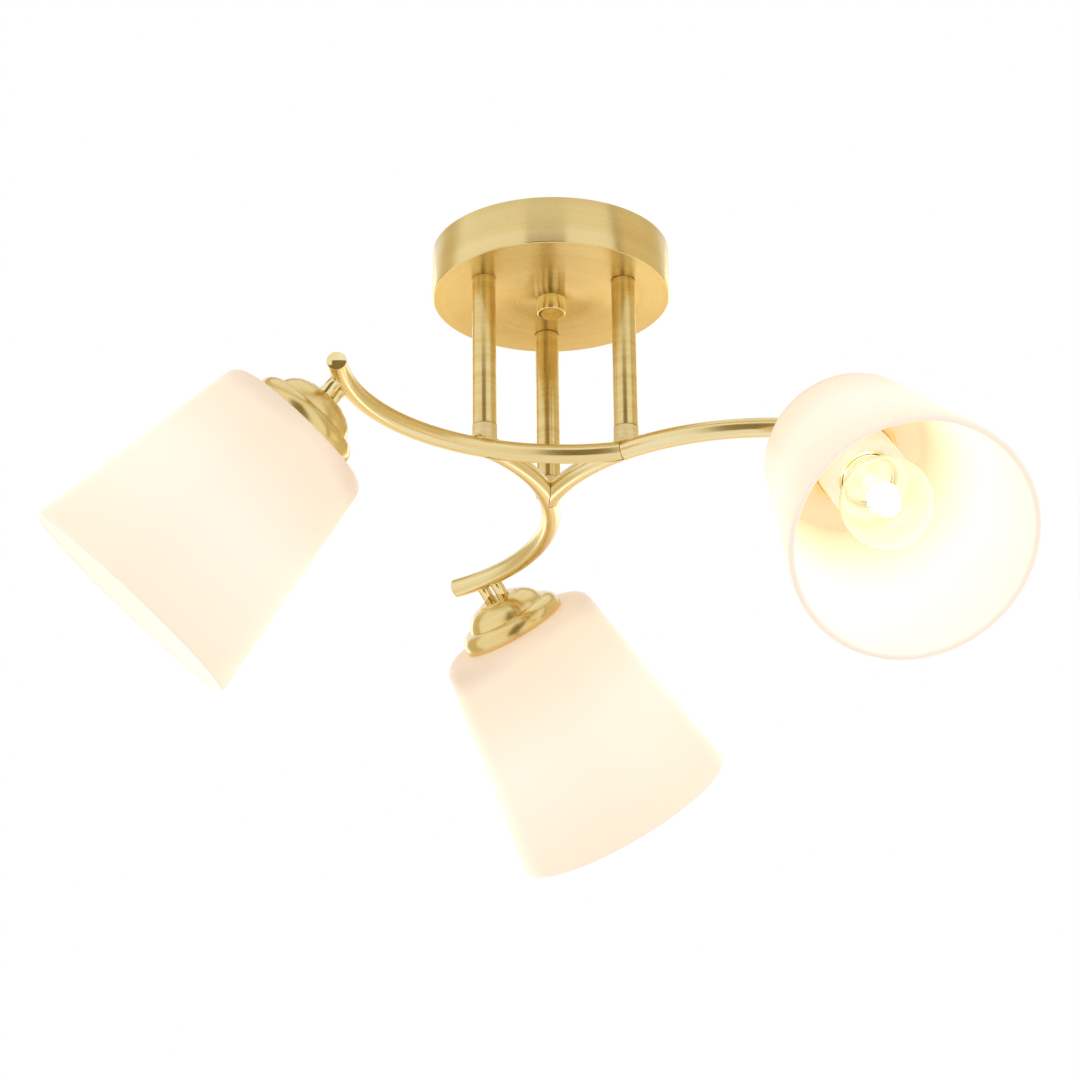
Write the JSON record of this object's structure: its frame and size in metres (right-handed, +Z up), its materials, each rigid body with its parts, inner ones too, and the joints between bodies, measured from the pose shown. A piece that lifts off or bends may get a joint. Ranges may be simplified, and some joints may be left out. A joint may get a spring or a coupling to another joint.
{
  "type": "semi flush ceiling light",
  "caption": "Semi flush ceiling light: swirling brass arms on short rods under a round canopy, each with a brass cup and a tapered opal glass shade with a bulb.",
  "frame": {"origin": "centre of the canopy, on the ceiling plane", "axes": "+Z up into the ceiling, +X to the right and +Y away from the picture's camera; the first arm leaves towards -X"},
  "size_m": [0.4674, 0.4527, 0.2672],
  "materials": {
    "brushed_brass": "brushed and lacquered, spun rings below",
    "satin_brass": "satin, fine brushing",
    "polished_brass": "polished",
    "matte_brass": "matte, polished at the braze",
    "shell_brass": "bright rolled brass",
    "ring_brass": "bright turned brass",
    "terminal_brass": "plain brass",
    "zinc_plated_steel": "zinc plated",
    "terminal_block_plastic": "moulded polyamide",
    "lampholder_plastic": "moulded white thermoplastic",
    "opal_glass": "blown opal glass, warm white",
    "clear_glass": "clear blown glass",
    "nickel_plated_cap": "nickel plated brass",
    "bulb_insulator": "black vitrified insulator with a tinned contact",
    "filament_wire": "drawn wire on a glass stem"
  },
  "bodies": {
    "bracket": {"mounting_bracket": "zinc_plated_steel", "bracket_stud": "zinc_plated_steel", "stud_lock_nut": "zinc_plated_steel", "earth_terminal": "terminal_brass", "terminal_block": "terminal_block_plastic", "terminal_screws": "terminal_brass"},
    "fixture": {"canopy": "brushed_brass", "canopy_nut_washer": "polished_brass", "arm_end_caps": "polished_brass", "posts_1": "polished_brass", "posts_2": "polished_brass", "posts_3": "polished_brass", "rod_1": "satin_brass", "rod_2": "satin_brass", "rod_3": "satin_brass", "arm_1": "satin_brass", "arm_2": "satin_brass", "arm_3": "satin_brass", "cup_1": "satin_brass", "cup_2": "satin_brass", "cup_3": "satin_brass", "collar_1": "matte_brass", "collar_2": "matte_brass", "collar_3": "matte_brass", "rod_nipples": "zinc_plated_steel", "rod_lock_nuts": "zinc_plated_steel", "rod_lock_washers": "zinc_plated_steel", "collar_nipples": "zinc_plated_steel", "post_nuts": "zinc_plated_steel", "holder_contacts": "terminal_brass", "holder_domes": "lampholder_plastic", "lampholder_1": "lampholder_plastic", "lampholder_2": "lampholder_plastic", "lampholder_3": "lampholder_plastic", "screw_shell_1": "shell_brass", "screw_shell_2": "shell_brass", "screw_shell_3": "shell_brass"},
    "canopy_nut": {"canopy_nut": "polished_brass"},
    "shade_body_1": {"shade_1": "opal_glass", "ring_washer_1": "ring_brass"},
    "ring_body_1": {"shade_ring_1": "ring_brass"},
    "bulb_foot_1": {"bulb_contact_1": "bulb_insulator"},
    "bulb_1": {"bulb_glass_1": "clear_glass", "bulb_cap_1": "nickel_plated_cap", "filament_1": "filament_wire"},
    "shade_body_2": {"shade_2": "opal_glass", "ring_washer_2": "ring_brass"},
    "ring_body_2": {"shade_ring_2": "ring_brass"},
    "bulb_foot_2": {"bulb_contact_2": "bulb_insulator"},
    "bulb_2": {"bulb_glass_2": "clear_glass", "bulb_cap_2": "nickel_plated_cap", "filament_2": "filament_wire"},
    "shade_body_3": {"shade_3": "opal_glass", "ring_washer_3": "ring_brass"},
    "ring_body_3": {"shade_ring_3": "ring_brass"},
    "bulb_foot_3": {"bulb_contact_3": "bulb_insulator"},
    "bulb_3": {"bulb_glass_3": "clear_glass", "bulb_cap_3": "nickel_plated_cap", "filament_3": "filament_wire"}
  },
  "joints": [
    {"name": "light_lower", "type": "slide", "parent": "bracket", "child": "fixture", "axis": [0, 0, -1], "range_m": [0, 0.005]},
    {"name": "canopy_nut_turn", "type": "hinge", "parent": "fixture", "child": "canopy_nut", "pos_m": [0, 0, -0.0255], "axis": [0, 0, -1], "range_deg": [0, 1440.1]},
    {"name": "shade_1_slide", "type": "slide", "parent": "fixture", "child": "shade_body_1", "axis": [-0.6775, 0.2026, -0.7071], "range_m": [0, 0.03]},
    {"name": "shade_ring_1_turn", "type": "hinge", "parent": "shade_body_1", "child": "ring_body_1", "pos_m": [-0.1359, -0.08424, -0.15176], "axis": [-0.6775, 0.2026, -0.7071], "range_deg": [0, 4320.1]},
    {"name": "bulb_1_slide", "type": "slide", "parent": "fixture", "child": "bulb_foot_1", "axis": [-0.6775, 0.2026, -0.7071], "range_m": [0, 0.01089]},
    {"name": "bulb_1_turn", "type": "hinge", "parent": "bulb_foot_1", "child": "bulb_1", "pos_m": [-0.17303, -0.07314, -0.19051], "axis": [-0.6775, 0.2026, -0.7071], "range_deg": [0, 1080.1]},
    {"name": "shade_2_slide", "type": "slide", "parent": "fixture", "child": "shade_body_2", "axis": [0.5142, 0.4854, -0.7071], "range_m": [0, 0.03]},
    {"name": "shade_ring_2_turn", "type": "hinge", "parent": "shade_body_2", "child": "ring_body_2", "pos_m": [-0.005, 0.15982, -0.15176], "axis": [0.5142, 0.4854, -0.7071], "range_deg": [0, 4320.1]},
    {"name": "bulb_2_slide", "type": "slide", "parent": "fixture", "child": "bulb_foot_2", "axis": [0.5142, 0.4854, -0.7071], "range_m": [0, 0.01089]},
    {"name": "bulb_2_turn", "type": "hinge", "parent": "bulb_foot_2", "child": "bulb_2", "pos_m": [0.02317, 0.18642, -0.19051], "axis": [0.5142, 0.4854, -0.7071], "range_deg": [0, 1080.1]},
    {"name": "shade_3_slide", "type": "slide", "parent": "fixture", "child": "shade_body_3", "axis": [0.1633, -0.688, -0.7071], "range_m": [0, 0.03]},
    {"name": "shade_ring_3_turn", "type": "hinge", "parent": "shade_body_3", "child": "ring_body_3", "pos_m": [0.14091, -0.07558, -0.15176], "axis": [0.1633, -0.688, -0.7071], "range_deg": [0, 4320.1]},
    {"name": "bulb_3_slide", "type": "slide", "parent": "fixture", "child": "bulb_foot_3", "axis": [0.1633, -0.688, -0.7071], "range_m": [0, 0.01089]},
    {"name": "bulb_3_turn", "type": "hinge", "parent": "bulb_foot_3", "child": "bulb_3", "pos_m": [0.14985, -0.11328, -0.19051], "axis": [0.1633, -0.688, -0.7071], "range_deg": [0, 1080.1]}
  ],
  "couplings": [
    {"joint": "canopy_nut_turn", "follows": "light_lower", "rad_per_m": 5026.5},
    {"joint": "shade_ring_1_turn", "follows": "shade_1_slide", "rad_per_m": 2513.3},
    {"joint": "bulb_1_turn", "follows": "bulb_1_slide", "rad_per_m": 1731.4},
    {"joint": "shade_ring_2_turn", "follows": "shade_2_slide", "rad_per_m": 2513.3},
    {"joint": "bulb_2_turn", "follows": "bulb_2_slide", "rad_per_m": 1731.4},
    {"joint": "shade_ring_3_turn", "follows": "shade_3_slide", "rad_per_m": 2513.3},
    {"joint": "bulb_3_turn", "follows": "bulb_3_slide", "rad_per_m": 1731.4}
  ]
}
